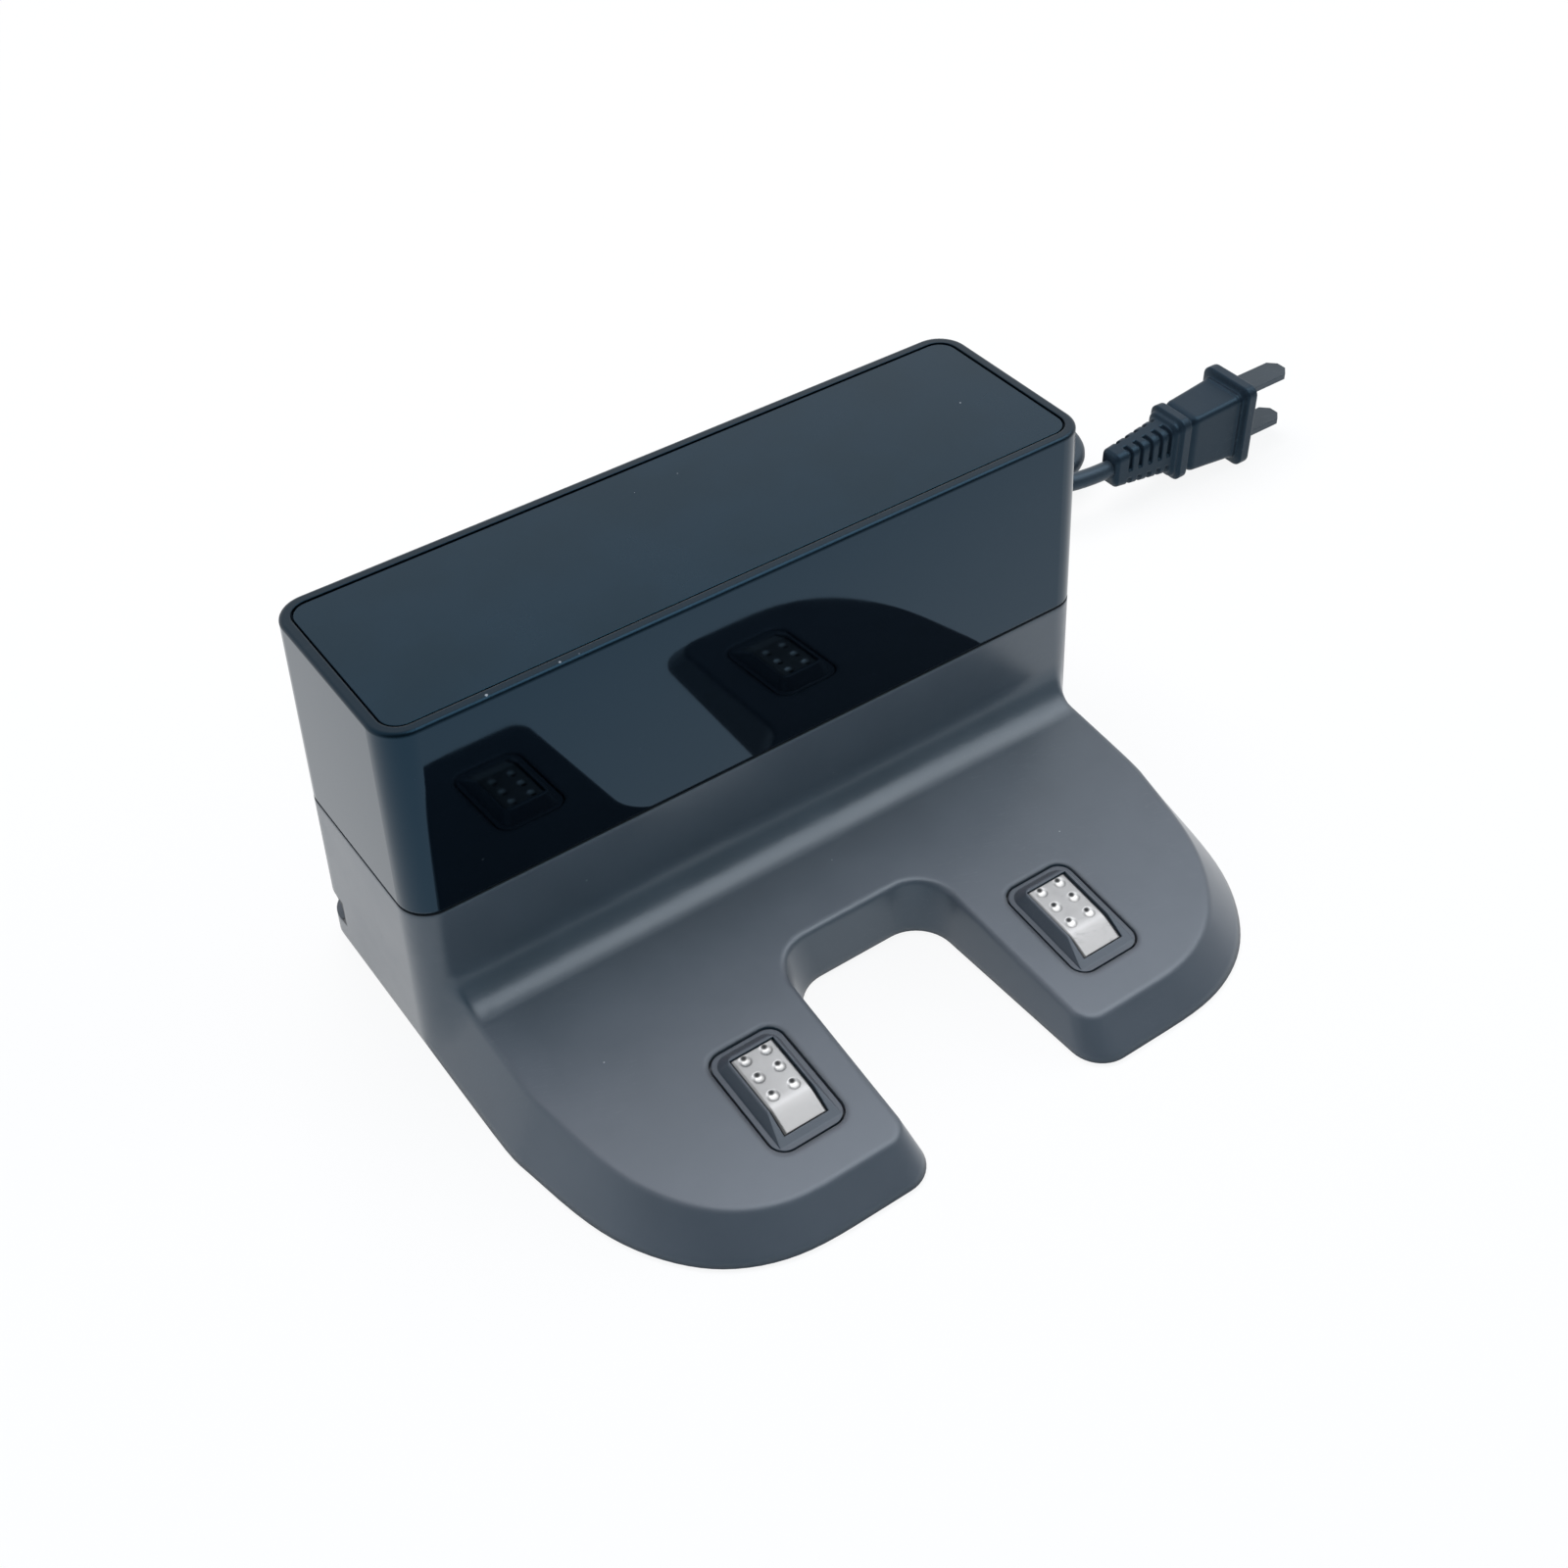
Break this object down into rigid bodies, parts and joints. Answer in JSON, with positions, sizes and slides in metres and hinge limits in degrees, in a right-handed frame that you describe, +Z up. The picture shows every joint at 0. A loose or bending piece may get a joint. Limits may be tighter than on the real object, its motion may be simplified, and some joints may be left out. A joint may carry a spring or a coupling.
{
  "type": "robot vacuum charging dock",
  "caption": "Free-standing charging dock for a robot vacuum: upright glossy box body on a low forked ramp with sprung metal charging contacts, mains cord and flat-blade plug.",
  "frame": {"origin": "on the floor under the middle of the dock's own footprint, the cord and plug left out", "axes": "+Z up, +Y towards the back (the wall side), +X to the right seen from the front"},
  "size_m": [0.263, 0.1641, 0.075],
  "materials": {
    "base_shell": "fine satin texture",
    "upper_shell": "polished, dark smoked",
    "lid_shell": "satin",
    "underside": "plain matte",
    "foot_rubber": "matte",
    "carrier_plastic": "satin",
    "contact_metal": "bright, lightly brushed",
    "spring_steel": "bright wire",
    "terminal_brass": "rolled strip",
    "wire_insulation": "smooth",
    "board_laminate": "lacquered",
    "component_plastic": "plain",
    "capacitor_sleeve": "shrunk sleeve",
    "emitter_lens": "clear tinted",
    "screw_steel": "zinc plated",
    "gland_plastic": "matte",
    "cord_sheath": "smooth matte",
    "tie_strap": "woven strap",
    "plug_plastic": "satin moulding",
    "blade_metal": "plated strip"
  },
  "bodies": {
    "dock": {"base_housing": "base_shell", "upper_housing": "upper_shell", "top_plate": "lid_shell", "bottom_plate": "underside", "foot_front_left": "foot_rubber", "foot_front_right": "foot_rubber", "foot_rear_left": "foot_rubber", "foot_rear_right": "foot_rubber", "contact_spring_left_rear": "spring_steel", "contact_spring_left_front": "spring_steel", "contact_spring_right_rear": "spring_steel", "contact_spring_right_front": "spring_steel", "contact_terminal_left": "terminal_brass", "contact_terminal_right": "terminal_brass", "contact_lead_left": "wire_insulation", "contact_lead_right": "wire_insulation", "mains_lead_live": "wire_insulation", "mains_lead_neutral": "wire_insulation", "power_board": "board_laminate", "emitter_board": "board_laminate", "transformer": "component_plastic", "input_socket": "component_plastic", "output_socket": "component_plastic", "bulk_capacitor": "capacitor_sleeve", "emitter_left": "emitter_lens", "emitter_centre": "emitter_lens", "emitter_right": "emitter_lens", "bottom_screws": "screw_steel", "board_screws": "screw_steel", "cord_gland": "gland_plastic", "cord_dock_run": "cord_sheath", "cord_plug_run": "cord_sheath", "cord_hank": "cord_sheath", "hank_tie": "tie_strap", "plug_body": "plug_plastic", "plug_blade_upper": "blade_metal", "plug_blade_lower": "blade_metal"},
    "contact_left": {"contact_carrier_left": "carrier_plastic", "contact_plate_left": "contact_metal"},
    "contact_right": {"contact_carrier_right": "carrier_plastic", "contact_plate_right": "contact_metal"}
  },
  "joints": [
    {"name": "contact_left_press", "type": "slide", "parent": "dock", "child": "contact_left", "axis": [0, 0, 1], "range_m": [-0.002, 0], "stiffness_N_per_m": 300, "springref_m": 0.002, "deforming": ["contact_spring_left_rear", "contact_spring_left_front"]},
    {"name": "contact_right_press", "type": "slide", "parent": "dock", "child": "contact_right", "axis": [0, 0, 1], "range_m": [-0.002, 0], "stiffness_N_per_m": 300, "springref_m": 0.002, "deforming": ["contact_spring_right_rear", "contact_spring_right_front"]}
  ]
}
